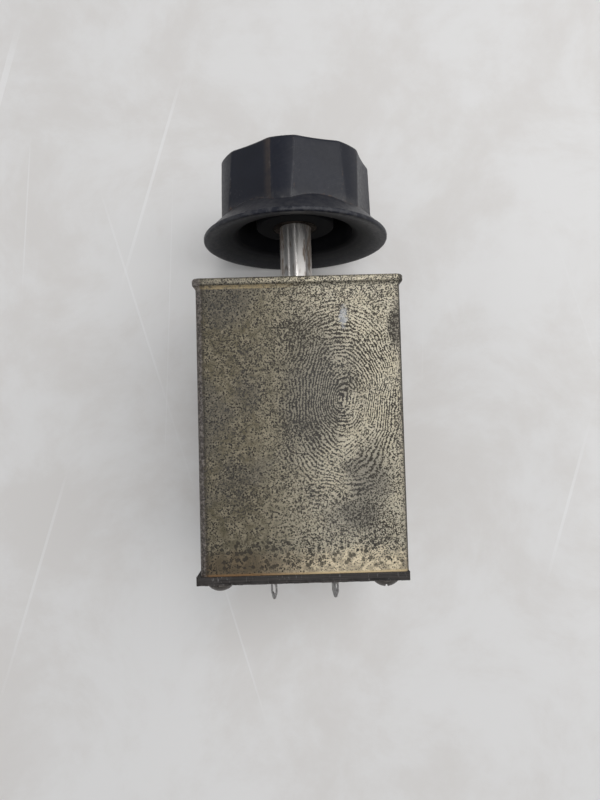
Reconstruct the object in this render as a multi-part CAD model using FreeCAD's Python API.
"""Screened variable tuning capacitor with a fluted, skirted knob.

The shaft lies along Y. The origin is the centre of the front plate's outer face, where the shaft
comes out; the knob is towards +Y, the can and the rear board towards -Y, and +Z is up as the
capacitor lies on its side. An angle around the shaft is counted from +Z towards +X. All sizes are
millimetres. At rest the moving vanes hang down, fully in mesh with the fixed ones.
"""
import FreeCAD
import Part

import math
import os

V = FreeCAD.Vector
ALONG = V(0, 1, 0)

# ---- driving dimensions --------------------------------------------------------------------
# screening can and the parts that close it
CAN_WIDTH = 35.0
CAN_CORNER_R = 1.0
CAN_SHEET = 0.5
CAN_VISIBLE_LENGTH = 48.9       # from the back of the front plate to the rear board
CAN_LIP_FLARE = 0.2             # how far the front lip turns outwards
CAN_LIP_LENGTH = 0.7            # length over which it turns
SEAM_WIDTH = 0.25
SEAM_DEPTH = 0.2

PLATE_THICKNESS = 1.3
PLATE_CORNER_R = 1.3
PLATE_EDGE_R = 0.4
PLATE_POCKET_DEPTH = 0.7        # groove in the back of the plate that takes the can's lip
HEM_WALL = 0.35

BOARD_THICKNESS = 1.4
BOARD_OVERHANG = 0.35           # past the can on each side
BOARD_CORNER_R = 0.4

# the pillar set and the board sit a little to one side of the shaft
PILLAR_SHIFT_X = -0.3
PILLAR_PITCH = 28.4             # square pattern, centre to centre
PILLAR_R = 2.3
PILLAR_TAP_R = 1.05
PILLAR_TAP_DEPTH = 6.0

SCREW_SHANK_R = 1.03
REAR_HEAD_R = 2.35
REAR_HEAD_HEIGHT = 1.8
REAR_HEAD_WALL = 0.55           # straight side of the head below its dome
SCREW_SLOT_WIDTH = 0.55
REAR_SLOT_DEPTH = 0.8
REAR_SLOT_ANGLES = (0, 62, 118, 25)
FRONT_HEAD_R = 2.3
FRONT_HEAD_DEPTH = 1.1
FRONT_SLOT_DEPTH = 0.6
FRONT_SLOT_ANGLES = (40, 155, 90, 10)
SCREW_REACH = 4.5               # length of shank in the pillar

MOUNT_HOLE_R = 1.25             # tapped M3
MOUNT_HOLE_CIRCLE = 24.0
MOUNT_HOLE_ANGLES = (60, 180, 300)

# shaft and its front ball race
SHAFT_R = 3.175
SHAFT_FRONT_END = 22.3
SHAFT_STEM_R = 3.0
SHAFT_FLANGE_R = 5.0
SHAFT_FLANGE_LENGTH = 2.0
SHAFT_FLAT_DEPTH = 0.4
SHAFT_END_CHAMFER = 0.5
RUNNING_CLEARANCE = 0.05
STATIC_CLEARANCE = 0.03

CUP_HUB_R = 5.0
CUP_COLLAR_R = 4.7
CUP_COLLAR_HEIGHT = 1.2
CUP_FLANGE_THICKNESS = 1.2
CUP_WALL_R = 8.5
CUP_RACE_R = 7.2
CUP_TO_SECTOR = 0.25            # gap from the cup's mouth to the stop sector behind it
BALL_R = 0.794
BALL_COUNT = 10
BALL_CIRCLE_R = 6.0
BALL_PLANE = 2.6                # behind the back of the plate
BALL_CLEARANCE = 0.02
CAGE_THICKNESS = 0.24
CAGE_BALL_CLEARANCE = 0.05
CAGE_EDGE_CLEARANCE = 0.08
CONE_R = 5.3
CONE_LENGTH = 2.6

# stop that limits the travel to half a turn
TRAVEL_DEG = 180.0
STOP_PIN_R = 0.9
STOP_PIN_CIRCLE_R = 10.0
STOP_GAP = 0.05
STOP_SECTOR_R = 11.2
STOP_SECTOR_THICKNESS = 1.0

# moving vanes: as many as the can has room for
VANE_PITCH = 2.2
VANE_THICKNESS = 0.5
ROTOR_VANE_R = 13.2
ROTOR_SPACER_R = 4.6
ROTOR_CLAMP_LENGTH = 2.2
ROTOR_CLAMP_R = 5.2

# fixed vanes and their supports
STATOR_VANE_R = 16.3
STATOR_THROAT_R = 6.0
STATOR_EDGE_DROP = 1.0          # straight edge below the shaft's centre line
STATOR_EAR_R = 1.7
CAN_TO_STATOR = 0.6
STATOR_ROD_R = 1.0
STATOR_RODS = ((-15.0, -3.2), (15.0, -3.2), (0.0, -15.1))
STATOR_TUBE_R = 1.5
CERAMIC_LENGTH = 4.6
CERAMIC_SPIGOT_DEPTH = 3.0
STATOR_NUT_FLATS = 4.0
STATOR_NUT_THICKNESS = 1.6
STATOR_ROD_PROUD = 0.7

# rear centre
STEM_TO_BOARD = 6.4             # from the end of the shaft stem to the board
STEM_REACH = 0.6                # shaft stem behind the wiper's rubbing band
WIPER_BAND = 1.8
REAR_BALL_R = 1.5
SEAT_MOUTH_R = 1.3
REAR_BUSH_R = 4.2
REAR_BUSH_FLANGE_R = 4.9
REAR_BUSH_FLANGE_THICKNESS = 1.0
REAR_BUSH_PROUD = 0.5
ADJUSTER_R = 2.5
ADJUSTER_PROUD = 3.0
ADJUSTER_SLOT_WIDTH = 0.8
ADJUSTER_SLOT_DEPTH = 0.9
LOCK_NUT_FLATS = 7.0
LOCK_NUT_THICKNESS = 1.8

# solder tags, each a twisted blade standing out of the rear board
TAG_X = 6.06
TAG_TWIST_DEG = 45.0
TAG_THICKNESS = 0.3
TAG_SHANK_WIDTH = 2.4
TAG_SHANK_PROUD = 4.7           # length of the wide shank behind the board
TAG_NECK_WIDTH = 1.55
TAG_NOSE_WIDTH = 0.8
TAG_NOSE_LENGTH = 1.3           # length over which the neck tapers to the tip
TAG_PROUD = 8.1
TAG_EYE_WIDTH = 1.05
TAG_EYE_LENGTH = 1.9
TAG_EYE_FROM_TIP = 1.1
TAG_INSIDE = 1.4
TAG_SLOT_CLEARANCE = 0.03

WIPER_THICKNESS = 0.3
WIPER_WIDTH = 2.6
WIPER_FOOT_START = 7.3
WIPER_FOOT_END = 11.8
WIPER_KNEE = 2.6                # how far the upright part reaches in front of the board
WIPER_RIVET_R = 0.8
WIPER_RIVET_HEAD_R = 1.4
WIPER_RIVET_HEAD = 0.5
LEAD_R = 0.4

# knob
KNOB_SKIRT_R = 18.35
KNOB_SKIRT_FROM_PLATE = 11.1
KNOB_RIM_THICKNESS = 0.9
KNOB_RIM_ROUND = 0.3
KNOB_TOP_FROM_PLATE = 26.4
KNOB_BODY_BASE_R = 15.4
KNOB_BODY_TOP_R = 14.98
KNOB_BODY_FOOT = 15.85          # height at which the cone of the skirt meets the flutes
KNOB_FLUTE_BOTTOM_R = 14.0
KNOB_TOP_ROUND = 0.6
KNOB_LOBES = 7
KNOB_LAND_DEG = 15.8
KNOB_LAND_AT_DEG = -8.3
KNOB_CROWN_RECESS_R = 10.5
KNOB_CROWN_RECESS_DEPTH = 0.6
KNOB_DISH_R = 17.7              # the skirt's underside is dished from here inwards
KNOB_DISH_DEPTH = 1.8
KNOB_CAVITY_R = 11.6
KNOB_CAVITY_DEPTH = 9.0
KNOB_BOSS_R = 7.8
KNOB_BOSS_SET_BACK = 3.3        # the boss and its insert end well inside the skirt
INSERT_R = 4.4
SOCKET_END_GAP = 0.3

GRUB_R = 1.5
GRUB_LENGTH = 5.0
GRUB_FROM_SKIRT = 6.4
GRUB_ACCESS_R = 1.8
GRUB_SLOT_WIDTH = 0.5
GRUB_SLOT_DEPTH = 0.8

# ---- places worked out from them -------------------------------------------------------------
PLATE_HALF = CAN_WIDTH / 2 + CAN_LIP_FLARE + HEM_WALL
PLATE_BACK = -PLATE_THICKNESS
BOARD_FRONT = PLATE_BACK - CAN_VISIBLE_LENGTH
BOARD_BACK = BOARD_FRONT - BOARD_THICKNESS
CAN_INNER_HALF = CAN_WIDTH / 2 - CAN_SHEET

BALL_Y = PLATE_BACK - BALL_PLANE
CONTACT_STEP = math.sqrt(2) * (BALL_R + BALL_CLEARANCE)
CUP_RACE_SUM = BALL_CIRCLE_R + BALL_Y + CONTACT_STEP     # r + y on the cup's 45 degree race
CONE_RACE_SUM = BALL_CIRCLE_R + BALL_Y - CONTACT_STEP    # r + y on the cone's 45 degree race

CONE_BACK = CONE_RACE_SUM - SHAFT_R - CONE_LENGTH
SECTOR_BACK = CONE_BACK - STOP_SECTOR_THICKNESS
FLANGE_BACK = SECTOR_BACK - SHAFT_FLANGE_LENGTH
CUP_MOUTH = CONE_BACK + CUP_TO_SECTOR
STEM_END = BOARD_FRONT + STEM_TO_BOARD
WIPER_Y = STEM_END + STEM_REACH + WIPER_BAND / 2
STACK_LIMIT = WIPER_Y + WIPER_BAND / 2 + ROTOR_CLAMP_LENGTH
VANE_COUNT = int((FLANGE_BACK - STACK_LIMIT - VANE_THICKNESS) / VANE_PITCH) + 1
STACK_END = FLANGE_BACK - VANE_PITCH * (VANE_COUNT - 1) - VANE_THICKNESS
CLAMP_END = STACK_END - ROTOR_CLAMP_LENGTH
FIRST_STATOR = FLANGE_BACK - VANE_THICKNESS / 2 - VANE_PITCH / 2   # centre of the first fixed vane
BALL_TO_MOUTH = math.sqrt(2) * REAR_BALL_R - SEAT_MOUTH_R
REAR_BALL_Y = STEM_END - BALL_TO_MOUTH - BALL_CLEARANCE
ADJUSTER_FRONT = REAR_BALL_Y - BALL_TO_MOUTH - BALL_CLEARANCE

KNOB_RIM_Y = KNOB_SKIRT_FROM_PLATE
KNOB_TOP_Y = KNOB_TOP_FROM_PLATE
BOSS_FACE_Y = KNOB_RIM_Y + KNOB_BOSS_SET_BACK
SOCKET_END = SHAFT_FRONT_END + SOCKET_END_GAP
LOBE_PITCH = 360.0 / KNOB_LOBES
GRUB_ANGLE = KNOB_LAND_AT_DEG + LOBE_PITCH * (KNOB_LOBES // 2 + 0.5)   # middle of the lowest flute

CORNERS = [(PILLAR_SHIFT_X + sx * PILLAR_PITCH / 2, sz * PILLAR_PITCH / 2)
           for sx, sz in ((1, 1), (-1, 1), (-1, -1), (1, -1))]


# ---- helpers -----------------------------------------------------------------------------------
def rod(radius, start, end, x=0.0, z=0.0):
    """A round bar along Y between two heights."""
    low, high = min(start, end), max(start, end)
    return Part.makeCylinder(radius, high - low, V(x, low, z), ALONG)


def tube(outer, inner, start, end, x=0.0, z=0.0):
    return rod(outer, start, end, x, z).cut(rod(inner, start, end, x, z))


def turned(points):
    """A solid turned about the shaft axis from an outline of (radius, y) points."""
    outline = Part.makePolygon([V(r, y, 0) for r, y in points + points[:1]])
    return Part.Face(outline).revolve(V(0, 0, 0), ALONG, 360)


def slab(width, thickness, length, centre):
    """A block given by its sizes along X, Y and Z and the place of its middle."""
    corner = V(-width / 2, -thickness / 2, -length / 2) + centre
    return Part.makeBox(width, thickness, length, corner)


def rounded_square(half, radius, y, shift=0.0):
    """The closed outline of a square with round corners, across the shaft at one height."""
    flat = half - radius
    edges = []
    for quarter in range(4):
        turn = math.radians(90 * quarter)
        c, s = math.cos(turn), math.sin(turn)

        def spot(x, z):
            return V(shift + x * c - z * s, y, x * s + z * c)

        edges.append(Part.LineSegment(spot(half, -flat), spot(half, flat)).toShape())
        mid = flat + radius * math.sqrt(0.5)
        edges.append(Part.Arc(spot(half, flat), spot(mid, mid), spot(flat, half)).toShape())
    return Part.Wire(edges)


def square_prism(half, radius, start, end, shift=0.0):
    low, high = min(start, end), max(start, end)
    return Part.Face(rounded_square(half, radius, low, shift)).extrude(V(0, high - low, 0))


def around(angle, radius, y):
    """A point at an angle around the shaft, counted from +Z towards +X."""
    t = math.radians(angle)
    return V(radius * math.sin(t), y, radius * math.cos(t))


def hexagon(flats, start, end, x=0.0, z=0.0):
    low, high = min(start, end), max(start, end)
    reach = flats / math.sqrt(3)
    points = [V(x, low, z) + around(60 * i, reach, 0) for i in range(7)]
    return Part.Face(Part.makePolygon(points)).extrude(V(0, high - low, 0))


def slot_across(shape, width, depth, angle, x, y, z, reach, way=-1):
    """Cut a screwdriver slot into the end of a piece that faces along way times Y."""
    cutter = slab(width, depth, 2 * reach, V(0, 0, 0))
    cutter.rotate(V(0, 0, 0), ALONG, angle)
    cutter.translate(V(x, y - way * depth / 2, z))
    return shape.cut(cutter)


def fused(shapes):
    whole = shapes[0].multiFuse(shapes[1:])
    return whole.removeSplitter()


def save(name, *solids):
    """Write one sub-part; a set of like pieces is saved as a group of separate solids."""
    shape = solids[0] if len(solids) == 1 else Part.makeCompound(list(solids))
    if not shape.isValid():
        raise ValueError(name + " is not a valid solid")
    shape.exportStep("parts/" + name + ".step")
    print(name, len(shape.Solids), round(shape.Volume, 2))


# ---- casing ------------------------------------------------------------------------------------
def front_plate():
    """Square plate whose back groove takes the can's flared lip."""
    plate = square_prism(PLATE_HALF, PLATE_CORNER_R, PLATE_BACK, 0)
    rims = [e for e in plate.Edges if e.BoundBox.YLength < 1e-6]
    plate = plate.makeFillet(PLATE_EDGE_R, rims)
    pocket_top = PLATE_BACK + PLATE_POCKET_DEPTH
    pocket_outer = CAN_WIDTH / 2 + CAN_LIP_FLARE + STATIC_CLEARANCE
    pocket_inner = CAN_INNER_HALF - STATIC_CLEARANCE
    groove = square_prism(pocket_outer, CAN_CORNER_R, PLATE_BACK, pocket_top).cut(
        square_prism(pocket_inner, CAN_CORNER_R - CAN_SHEET, PLATE_BACK, pocket_top))
    plate = plate.cut(groove)
    holes = [rod(CUP_HUB_R, PLATE_BACK, 0)]
    for angle in MOUNT_HOLE_ANGLES:
        at = around(angle, MOUNT_HOLE_CIRCLE / 2, 0)
        holes.append(rod(MOUNT_HOLE_R, PLATE_BACK, 0, at.x, at.z))
    at = around(0, STOP_PIN_CIRCLE_R, 0)
    holes.append(rod(STOP_PIN_R, PLATE_BACK, 0, at.x, at.z))
    for x, z in CORNERS:
        holes.append(front_screw_blank(x, z, STATIC_CLEARANCE, PLATE_THICKNESS))
    return plate.cut(holes)


def front_screw_blank(x, z, grow, reach):
    """A countersunk screw's outline, grown by a clearance for its hole."""
    head = Part.makeCone(SCREW_SHANK_R + grow, FRONT_HEAD_R + grow, FRONT_HEAD_DEPTH,
                         V(x, -FRONT_HEAD_DEPTH, z), ALONG)
    return head.fuse(rod(SCREW_SHANK_R + grow, -reach, 0, x, z))


def shield_can():
    """Four-sided sheet can, flared at its front lip, with its seam along the underside."""
    half = CAN_WIDTH / 2
    lip = half + CAN_LIP_FLARE
    flare_start = PLATE_BACK - CAN_LIP_LENGTH
    body = square_prism(half, CAN_CORNER_R, BOARD_FRONT, flare_start)
    steps = []
    for i in range(4):
        share = i / 3
        grown = half + CAN_LIP_FLARE * share ** 2
        steps.append(rounded_square(grown, CAN_CORNER_R, flare_start + CAN_LIP_LENGTH * share))
    flare = Part.makeLoft(steps, True, True)
    edge = square_prism(lip, CAN_CORNER_R, PLATE_BACK, PLATE_BACK + PLATE_POCKET_DEPTH - STATIC_CLEARANCE)
    shell = fused([body, flare, edge])
    inner = square_prism(CAN_INNER_HALF, CAN_CORNER_R - CAN_SHEET, BOARD_FRONT, 0)
    seam = slab(SEAM_WIDTH, flare_start - BOARD_FRONT, 2 * SEAM_DEPTH,
                V(0, (flare_start + BOARD_FRONT) / 2, -half))
    return shell.cut([inner, seam])


def rear_board():
    """Black laminate board that closes the back and carries the tags and the rear bush."""
    half = CAN_WIDTH / 2 + BOARD_OVERHANG
    board = square_prism(half, BOARD_CORNER_R, BOARD_BACK, BOARD_FRONT, PILLAR_SHIFT_X)
    holes = [rod(REAR_BUSH_R, BOARD_BACK, BOARD_FRONT)]
    for x, z in CORNERS:
        holes.append(rod(SCREW_SHANK_R + STATIC_CLEARANCE, BOARD_BACK, BOARD_FRONT, x, z))
    for x, z in STATOR_RODS:
        holes.append(rod(STATOR_ROD_R + STATIC_CLEARANCE, BOARD_BACK, BOARD_FRONT, x, z))
    for side in (-1, 1):
        holes.append(turned_blade(slab(
            TAG_THICKNESS + 2 * TAG_SLOT_CLEARANCE, BOARD_THICKNESS,
            TAG_SHANK_WIDTH + 2 * TAG_SLOT_CLEARANCE,
            V(0, (BOARD_BACK + BOARD_FRONT) / 2, 0)), side))
    holes.append(rod(WIPER_RIVET_R, BOARD_BACK, BOARD_FRONT, wiper_rivet_x()))
    return board.cut(holes)


def frame_pillars():
    """Four round pillars between the plate and the board, tapped at both ends."""
    pillars = []
    for x, z in CORNERS:
        pillar = rod(PILLAR_R, BOARD_FRONT, PLATE_BACK, x, z)
        pillars.append(pillar.cut([
            rod(PILLAR_TAP_R, PLATE_BACK - PILLAR_TAP_DEPTH, PLATE_BACK, x, z),
            rod(PILLAR_TAP_R, BOARD_FRONT, BOARD_FRONT + PILLAR_TAP_DEPTH, x, z)]))
    return pillars


def front_screws():
    screws = []
    for (x, z), angle in zip(CORNERS, FRONT_SLOT_ANGLES):
        blank = front_screw_blank(x, z, 0, PLATE_THICKNESS + SCREW_REACH)
        screws.append(slot_across(blank, SCREW_SLOT_WIDTH, FRONT_SLOT_DEPTH, angle,
                                  x, 0, z, FRONT_HEAD_R + 1, way=1))
    return screws


def rear_screws():
    """Round-headed slotted screws: a short straight side under a domed top."""
    dome = REAR_HEAD_HEIGHT - REAR_HEAD_WALL
    dome_r = (REAR_HEAD_R ** 2 + dome ** 2) / (2 * dome)
    screws = []
    for (x, z), angle in zip(CORNERS, REAR_SLOT_ANGLES):
        top = BOARD_BACK - REAR_HEAD_HEIGHT
        ball = Part.makeSphere(dome_r, V(x, top + dome_r, z))
        head = rod(REAR_HEAD_R, top, BOARD_BACK, x, z).common(ball)
        shank = rod(SCREW_SHANK_R, BOARD_BACK, BOARD_FRONT + SCREW_REACH, x, z)
        screws.append(slot_across(head.fuse(shank), SCREW_SLOT_WIDTH, REAR_SLOT_DEPTH, angle,
                                  x, top, z, REAR_HEAD_R + 1))
    return screws


# ---- front bearing and stop --------------------------------------------------------------------
def bearing_cup():
    """Cup pressed through the plate: bush bore in front, 45 degree ball race behind."""
    bore = SHAFT_R + RUNNING_CLEARANCE
    floor = PLATE_BACK - CUP_FLANGE_THICKNESS
    return turned([
        (bore, CUP_COLLAR_HEIGHT), (CUP_COLLAR_R, CUP_COLLAR_HEIGHT), (CUP_COLLAR_R, 0),
        (CUP_HUB_R, 0), (CUP_HUB_R, PLATE_BACK), (CUP_WALL_R, PLATE_BACK), (CUP_WALL_R, CUP_MOUTH),
        (CUP_RACE_R, CUP_MOUTH), (CUP_RACE_R, CUP_RACE_SUM - CUP_RACE_R), (CUP_RACE_SUM - floor, floor),
        (bore, floor)])


def bearing_cone():
    rise = CONE_RACE_SUM - SHAFT_R
    nose = rise - (CONE_R - SHAFT_R) / 2
    return turned([(SHAFT_R, nose), (CONE_RACE_SUM - nose, nose), (CONE_R, CONE_RACE_SUM - CONE_R),
                   (CONE_R, CONE_BACK), (SHAFT_R, CONE_BACK)])


def ball_places():
    return [around(360 / BALL_COUNT * i, BALL_CIRCLE_R, BALL_Y) for i in range(BALL_COUNT)]


def bearing_balls():
    return [Part.makeSphere(BALL_R, place) for place in ball_places()]


def ball_cage():
    """Thin ring that keeps the balls apart, clear of both races."""
    half = CAGE_THICKNESS / 2
    inner = CONE_RACE_SUM - (BALL_Y - half) + CAGE_EDGE_CLEARANCE
    outer = CUP_RACE_SUM - (BALL_Y + half) - CAGE_EDGE_CLEARANCE
    ring = tube(outer, inner, BALL_Y - half, BALL_Y + half)
    return ring.cut([rod(BALL_R + CAGE_BALL_CLEARANCE, BALL_Y - half, BALL_Y + half, p.x, p.z)
                     for p in ball_places()])


def stop_pin():
    at = around(0, STOP_PIN_CIRCLE_R, 0)
    return rod(STOP_PIN_R, SECTOR_BACK, 0, at.x, at.z)


def stop_sector():
    """Sector plate whose two straight edges meet the stop pin at the ends of the travel."""
    edge = math.degrees(math.asin((STOP_PIN_R + STOP_GAP) / STOP_PIN_CIRCLE_R))
    span = 360 - TRAVEL_DEG - 2 * edge
    wedge = Part.makeCylinder(STOP_SECTOR_R, STOP_SECTOR_THICKNESS, V(0, SECTOR_BACK, 0), ALONG, span)
    start = wedge.CenterOfMass
    middle = math.degrees(math.atan2(start.x, start.z))
    wedge.rotate(V(0, 0, 0), ALONG, -edge - span / 2 - middle)
    hub = rod(SHAFT_FLANGE_R, SECTOR_BACK, CONE_BACK)
    return fused([wedge, hub]).cut(rod(SHAFT_R, SECTOR_BACK, CONE_BACK))


# ---- rotor ---------------------------------------------------------------------------------------
def rotor_shaft():
    """Ground shaft: full size in front with a flat for the grub screw, stepped down for the vanes."""
    front = rod(SHAFT_R, SECTOR_BACK, SHAFT_FRONT_END)
    ends = [e for e in front.Edges if e.BoundBox.YLength < 1e-6 and e.BoundBox.YMax > 0]
    front = front.makeChamfer(SHAFT_END_CHAMFER, ends)
    flange = rod(SHAFT_FLANGE_R, FLANGE_BACK, SECTOR_BACK)
    stem = rod(SHAFT_STEM_R, STEM_END, FLANGE_BACK)
    seat = Part.makeCone(SEAT_MOUTH_R, 0, SEAT_MOUTH_R, V(0, STEM_END, 0), ALONG)
    flat_start = BOSS_FACE_Y
    flat = slab(4 * SHAFT_R, SHAFT_FRONT_END - flat_start, 2 * SHAFT_FLAT_DEPTH,
                V(0, (SHAFT_FRONT_END + flat_start) / 2, SHAFT_R))
    flat.rotate(V(0, 0, 0), ALONG, GRUB_ANGLE)
    return fused([front, flange, stem]).cut([seat, flat])


def rotor_vane_y(index):
    return FLANGE_BACK - VANE_THICKNESS / 2 - VANE_PITCH * index


def half_disc(radius, drop, y):
    """The lower part of a disc, below a straight edge a given drop under the shaft's centre."""
    disc = rod(radius, y - VANE_THICKNESS / 2, y + VANE_THICKNESS / 2)
    return disc.cut(slab(4 * radius, 2 * VANE_THICKNESS, 2 * radius, V(0, y, radius - drop)))


def rotor_vanes():
    vanes = []
    for i in range(VANE_COUNT):
        y = rotor_vane_y(i)
        hub = rod(ROTOR_CLAMP_R, y - VANE_THICKNESS / 2, y + VANE_THICKNESS / 2)
        vane = fused([half_disc(ROTOR_VANE_R, 0, y), hub])
        vanes.append(vane.cut(rod(SHAFT_STEM_R, y - VANE_THICKNESS, y + VANE_THICKNESS)))
    return vanes


def rotor_spacers():
    spacers = []
    for i in range(VANE_COUNT - 1):
        front = rotor_vane_y(i) - VANE_THICKNESS / 2
        back = rotor_vane_y(i + 1) + VANE_THICKNESS / 2
        spacers.append(tube(ROTOR_SPACER_R, SHAFT_STEM_R, back, front))
    return spacers


def vane_collar():
    return tube(ROTOR_CLAMP_R, SHAFT_STEM_R, CLAMP_END, STACK_END)


# ---- stator --------------------------------------------------------------------------------------
def stator_vane_y(index):
    return FIRST_STATOR - VANE_PITCH * index


def stator_vanes():
    """Fixed vanes: lower half discs with an open throat for the rotor's hub and an ear at each rod."""
    reach = CAN_INNER_HALF - CAN_TO_STATOR
    vanes = []
    for i in range(VANE_COUNT - 1):
        y = stator_vane_y(i)
        front, back = y + VANE_THICKNESS / 2, y - VANE_THICKNESS / 2
        ears = [rod(STATOR_EAR_R, back, front, x, z) for x, z in STATOR_RODS]
        vane = fused([half_disc(STATOR_VANE_R, STATOR_EDGE_DROP, y)] + ears)
        vane = vane.common(slab(2 * reach, VANE_THICKNESS, 2 * reach, V(0, y, 0)))
        bores = [rod(STATOR_ROD_R, back, front, x, z) for x, z in STATOR_RODS]
        vanes.append(vane.cut(bores + [rod(STATOR_THROAT_R, back, front)]))
    return vanes


def stator_rods():
    rods = []
    for x, z in STATOR_RODS:
        start = PLATE_BACK - CERAMIC_LENGTH + CERAMIC_SPIGOT_DEPTH
        rods.append(rod(STATOR_ROD_R, BOARD_BACK - STATOR_NUT_THICKNESS - STATOR_ROD_PROUD, start, x, z))
    return rods


def stator_spacers():
    spacers = []
    for x, z in STATOR_RODS:
        for i in range(VANE_COUNT - 2):
            front = stator_vane_y(i) - VANE_THICKNESS / 2
            back = stator_vane_y(i + 1) + VANE_THICKNESS / 2
            spacers.append(tube(STATOR_TUBE_R, STATOR_ROD_R, back, front, x, z))
    return spacers


def stator_end_tubes():
    tubes = []
    first = stator_vane_y(0) + VANE_THICKNESS / 2
    last = stator_vane_y(VANE_COUNT - 2) - VANE_THICKNESS / 2
    for x, z in STATOR_RODS:
        tubes.append(tube(STATOR_TUBE_R, STATOR_ROD_R, first, PLATE_BACK - CERAMIC_LENGTH, x, z))
        tubes.append(tube(STATOR_TUBE_R, STATOR_ROD_R, BOARD_FRONT, last, x, z))
    return tubes


def ceramic_bushes():
    """Blind insulating bushes that carry the front ends of the stator rods."""
    bushes = []
    for x, z in STATOR_RODS:
        back = PLATE_BACK - CERAMIC_LENGTH
        bush = rod(STATOR_TUBE_R, back, PLATE_BACK, x, z)
        bushes.append(bush.cut(rod(STATOR_ROD_R, back, back + CERAMIC_SPIGOT_DEPTH, x, z)))
    return bushes


def stator_nuts():
    end = BOARD_BACK - STATOR_NUT_THICKNESS
    return [hexagon(STATOR_NUT_FLATS, end, BOARD_BACK, x, z).cut(rod(STATOR_ROD_R, end, BOARD_BACK, x, z))
            for x, z in STATOR_RODS]


# ---- rear centre ---------------------------------------------------------------------------------
def rear_bush():
    """Flanged brass bush through the board, its bore threaded for the thrust adjuster."""
    flange_front = BOARD_FRONT + REAR_BUSH_FLANGE_THICKNESS
    proud = BOARD_BACK - REAR_BUSH_PROUD
    return turned([(ADJUSTER_R, flange_front), (REAR_BUSH_FLANGE_R, flange_front),
                   (REAR_BUSH_FLANGE_R, BOARD_FRONT), (REAR_BUSH_R, BOARD_FRONT),
                   (REAR_BUSH_R, proud), (ADJUSTER_R, proud)])


def adjusting_screw():
    """Headless screw with a ball seat in front and a screwdriver slot behind."""
    end = BOARD_BACK - ADJUSTER_PROUD
    seat = Part.makeCone(SEAT_MOUTH_R, 0, SEAT_MOUTH_R, V(0, ADJUSTER_FRONT, 0), V(0, -1, 0))
    screw = rod(ADJUSTER_R, end, ADJUSTER_FRONT).cut(seat)
    return slot_across(screw, ADJUSTER_SLOT_WIDTH, ADJUSTER_SLOT_DEPTH, 35, 0, end, 0, ADJUSTER_R + 1)


def lock_nut():
    front = BOARD_BACK - REAR_BUSH_PROUD
    back = front - LOCK_NUT_THICKNESS
    return hexagon(LOCK_NUT_FLATS, back, front).cut(rod(ADJUSTER_R, back, front))


def rear_ball():
    return Part.makeSphere(REAR_BALL_R, V(0, REAR_BALL_Y, 0))


def turned_blade(shape, side):
    """Put a piece made across X = 0 at one tag's place, twisted about its own length."""
    blade = shape.copy()
    blade.rotate(V(0, 0, 0), ALONG, TAG_TWIST_DEG)
    blade.translate(V(side * TAG_X, 0, 0))
    return blade


def solder_tag(side):
    """Flat tag: a wide shank through the board, a neck with a long eye, and a tapered nose."""
    inside = BOARD_FRONT + TAG_INSIDE
    shoulder = BOARD_BACK - TAG_SHANK_PROUD
    tip = BOARD_BACK - TAG_PROUD
    wide, neck, nose = TAG_SHANK_WIDTH / 2, TAG_NECK_WIDTH / 2, TAG_NOSE_WIDTH / 2
    bend = wide - neck
    hollow = bend * (1 - math.sqrt(0.5))

    def at(side_z, y):
        return V(-TAG_THICKNESS / 2, y, side_z)

    def edge(flip):
        """One side of the blade, from the board end to the nose."""
        foot = at(flip * neck, shoulder - bend)
        taper = at(flip * neck, tip + TAG_NOSE_LENGTH)
        end = at(flip * nose, tip + nose)
        corner = at(flip * wide, shoulder)
        mid = at(flip * (neck + hollow), shoulder - hollow)
        return [Part.LineSegment(at(flip * wide, inside), corner).toShape(),
                Part.Arc(corner, mid, foot).toShape(),
                Part.LineSegment(foot, taper).toShape(),
                Part.LineSegment(taper, end).toShape()]

    tip_arc = Part.Arc(at(nose, tip + nose), at(0, tip), at(-nose, tip + nose)).toShape()
    back = Part.LineSegment(at(-wide, inside), at(wide, inside)).toShape()
    outline = Part.Wire(Part.__sortEdges__(edge(1) + [tip_arc] + edge(-1) + [back]))
    blade = Part.Face(outline).extrude(V(TAG_THICKNESS, 0, 0))
    eye_r = TAG_EYE_WIDTH / 2
    eye_low = tip + TAG_EYE_FROM_TIP + eye_r
    eye_high = eye_low + TAG_EYE_LENGTH - TAG_EYE_WIDTH
    start = V(-TAG_THICKNESS, 0, 0)
    across = V(1, 0, 0)
    eye = fused([
        Part.makeCylinder(eye_r, 2 * TAG_THICKNESS, start + V(0, eye_low, 0), across),
        Part.makeCylinder(eye_r, 2 * TAG_THICKNESS, start + V(0, eye_high, 0), across),
        slab(2 * TAG_THICKNESS, eye_high - eye_low, TAG_EYE_WIDTH, V(0, (eye_low + eye_high) / 2, 0))])
    return turned_blade(blade.cut(eye), side)


def wiper_rivet_x():
    return (WIPER_FOOT_START + WIPER_FOOT_END) / 2 + WIPER_THICKNESS


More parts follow.
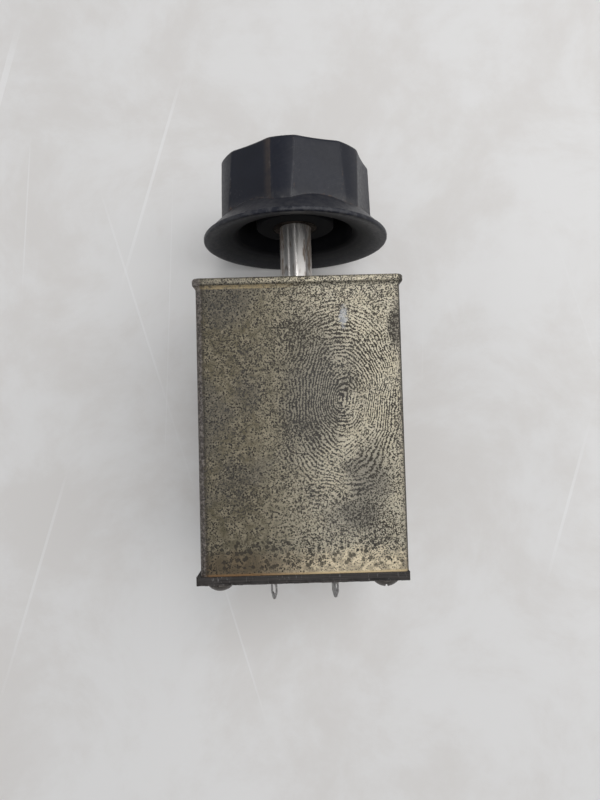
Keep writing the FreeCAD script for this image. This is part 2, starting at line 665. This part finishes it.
def wiper_spring():
    """Leaf spring from the rotor's tag to the shaft stem: foot, upright and a sprung finger."""
    foot_top = BOARD_FRONT + WIPER_THICKNESS
    knee = BOARD_FRONT + WIPER_KNEE
    inner = SHAFT_STEM_R + STATIC_CLEARANCE
    t = WIPER_THICKNESS
    points = [(WIPER_FOOT_END, BOARD_FRONT), (WIPER_FOOT_END, foot_top), (WIPER_FOOT_START + t, foot_top),
              (WIPER_FOOT_START + t, knee), (inner + t, WIPER_Y - t), (inner + t, WIPER_Y + t),
              (inner, WIPER_Y + t), (inner, WIPER_Y - t), (WIPER_FOOT_START, knee - t),
              (WIPER_FOOT_START, BOARD_FRONT)]
    outline = Part.makePolygon([V(x, y, -WIPER_WIDTH / 2) for x, y in points + points[:1]])
    strip = Part.Face(outline).extrude(V(0, 0, WIPER_WIDTH))
    return strip.cut(rod(WIPER_RIVET_R, BOARD_FRONT, foot_top, wiper_rivet_x()))


def wiper_rivet():
    x = wiper_rivet_x()
    inside = BOARD_FRONT + WIPER_THICKNESS
    return fused([rod(WIPER_RIVET_R, BOARD_BACK, inside, x),
                  rod(WIPER_RIVET_HEAD_R, inside, inside + WIPER_RIVET_HEAD, x),
                  rod(WIPER_RIVET_HEAD_R, BOARD_BACK - WIPER_RIVET_HEAD, BOARD_BACK, x)])


def stator_lead():
    """Wire soldered from the stator's tag to the tube on the nearest stator rod."""
    y = BOARD_FRONT + TAG_INSIDE / 2
    rod_x, rod_z = STATOR_RODS[0]
    start = V(-TAG_X, y, 0)
    way = V(rod_x, y, rod_z) - start
    length = way.Length - STATOR_TUBE_R
    return Part.makeCylinder(LEAD_R, length, start, way)


# ---- knob ----------------------------------------------------------------------------------------
def knob_body():
    """Moulded knob: seven rounded lands, concave flutes between them, and a wide conical skirt."""
    rim_top = KNOB_RIM_Y + KNOB_RIM_THICKNESS
    r_top = KNOB_TOP_ROUND
    bend = r_top * (1 - math.sqrt(0.5))
    grip_start = rim_top
    outline = Part.Wire([
        Part.LineSegment(V(0, grip_start, 0), V(KNOB_BODY_BASE_R, grip_start, 0)).toShape(),
        Part.LineSegment(V(KNOB_BODY_BASE_R, grip_start, 0),
                         V(KNOB_BODY_TOP_R, KNOB_TOP_Y - r_top, 0)).toShape(),
        Part.Arc(V(KNOB_BODY_TOP_R, KNOB_TOP_Y - r_top, 0),
                 V(KNOB_BODY_TOP_R - bend, KNOB_TOP_Y - bend, 0),
                 V(KNOB_BODY_TOP_R - r_top, KNOB_TOP_Y, 0)).toShape(),
        Part.LineSegment(V(KNOB_BODY_TOP_R - r_top, KNOB_TOP_Y, 0), V(0, KNOB_TOP_Y, 0)).toShape(),
        Part.LineSegment(V(0, KNOB_TOP_Y, 0), V(0, grip_start, 0)).toShape()])
    grip = Part.Face(outline).revolve(V(0, 0, 0), ALONG, 360)
    grip = grip.cut(rod(KNOB_CROWN_RECESS_R, KNOB_TOP_Y - KNOB_CROWN_RECESS_DEPTH, KNOB_TOP_Y))
    grip = grip.cut(knob_flutes(grip_start))
    skirt = turned([
        (0, KNOB_RIM_Y), (KNOB_SKIRT_R - KNOB_RIM_ROUND, KNOB_RIM_Y),
        (KNOB_SKIRT_R, KNOB_RIM_Y + KNOB_RIM_ROUND), (KNOB_SKIRT_R, rim_top - KNOB_RIM_ROUND),
        (KNOB_SKIRT_R - KNOB_RIM_ROUND, rim_top), (KNOB_FLUTE_BOTTOM_R, KNOB_BODY_FOOT),
        (0, KNOB_BODY_FOOT)])
    whole = fused([grip, skirt])
    roof = KNOB_RIM_Y + KNOB_CAVITY_DEPTH
    hollow = turned([
        (0, KNOB_RIM_Y), (KNOB_DISH_R, KNOB_RIM_Y), (KNOB_CAVITY_R, KNOB_RIM_Y + KNOB_DISH_DEPTH),
        (KNOB_CAVITY_R, roof), (KNOB_BOSS_R, roof), (KNOB_BOSS_R, BOSS_FACE_Y), (0, BOSS_FACE_Y)])
    socket = rod(INSERT_R, BOSS_FACE_Y, SOCKET_END)
    return whole.cut([hollow, socket, grub_bore(GRUB_R, 0), grub_bore(GRUB_ACCESS_R, KNOB_BOSS_R + 1)])


def knob_flutes(start):
    """Cylindrical cutters that leave a land of the stated width between each pair of flutes."""
    half_gap = math.radians((LOBE_PITCH - KNOB_LAND_DEG) / 2)
    edge_r = (KNOB_BODY_BASE_R + KNOB_BODY_TOP_R) / 2
    half_chord = edge_r * math.sin(half_gap)
    dip = edge_r * math.cos(half_gap) - KNOB_FLUTE_BOTTOM_R
    cutter_r = (half_chord ** 2 + dip ** 2) / (2 * dip)
    cutters = []
    for i in range(KNOB_LOBES):
        at = around(KNOB_LAND_AT_DEG + LOBE_PITCH * (i + 0.5), KNOB_FLUTE_BOTTOM_R + cutter_r, 0)
        cutters.append(rod(cutter_r, start, KNOB_TOP_Y + 1, at.x, at.z))
    return cutters


def grub_bore(radius, start):
    """A round cutter along the grub screw's line, from a distance off the axis to the outside."""
    at = around(GRUB_ANGLE, start, KNOB_RIM_Y + GRUB_FROM_SKIRT)
    return Part.makeCylinder(radius, KNOB_SKIRT_R - start, at, around(GRUB_ANGLE, 1, 0))


def knob_insert():
    """Brass bush moulded into the knob, bored for the shaft and tapped for the grub screw."""
    return tube(INSERT_R, SHAFT_R, BOSS_FACE_Y, SOCKET_END).cut(grub_bore(GRUB_R, 0))


def grub_screw():
    start = SHAFT_R - SHAFT_FLAT_DEPTH
    y = KNOB_RIM_Y + GRUB_FROM_SKIRT
    direction = around(GRUB_ANGLE, 1, 0)
    screw = Part.makeCylinder(GRUB_R, GRUB_LENGTH, around(GRUB_ANGLE, start, y), direction)
    slot = slab(4 * GRUB_R, GRUB_SLOT_WIDTH, GRUB_SLOT_DEPTH, V(0, 0, 0))
    slot.rotate(V(0, 0, 0), ALONG, GRUB_ANGLE)
    slot.translate(around(GRUB_ANGLE, start + GRUB_LENGTH - GRUB_SLOT_DEPTH / 2, y))
    return screw.cut(slot)


# ---- build ---------------------------------------------------------------------------------------
os.makedirs("parts", exist_ok=True)

save("front_plate", front_plate())
save("shield_can", shield_can())
save("rear_board", rear_board())
save("frame_pillars", *frame_pillars())
save("front_screws", *front_screws())
save("rear_screws", *rear_screws())

save("bearing_cup", bearing_cup())
save("stop_pin", stop_pin())

save("stator_vanes", *stator_vanes())
save("stator_rods", *stator_rods())
save("stator_spacers", *stator_spacers())
save("stator_end_tubes", *stator_end_tubes())
save("ceramic_bushes", *ceramic_bushes())
save("stator_nuts", *stator_nuts())
save("stator_lead", stator_lead())

save("rear_bush", rear_bush())
save("adjusting_screw", adjusting_screw())
save("lock_nut", lock_nut())
save("rear_ball", rear_ball())
save("stator_tag", solder_tag(-1))
save("rotor_tag", solder_tag(1))
save("wiper_spring", wiper_spring())
save("wiper_rivet", wiper_rivet())

save("bearing_balls", *bearing_balls())
save("ball_cage", ball_cage())

save("rotor_shaft", rotor_shaft())
save("bearing_cone", bearing_cone())
save("stop_sector", stop_sector())
save("rotor_vanes", *rotor_vanes())
save("rotor_spacers", *rotor_spacers())
save("vane_collar", vane_collar())
save("knob_body", knob_body())
save("knob_insert", knob_insert())
save("grub_screw", grub_screw())
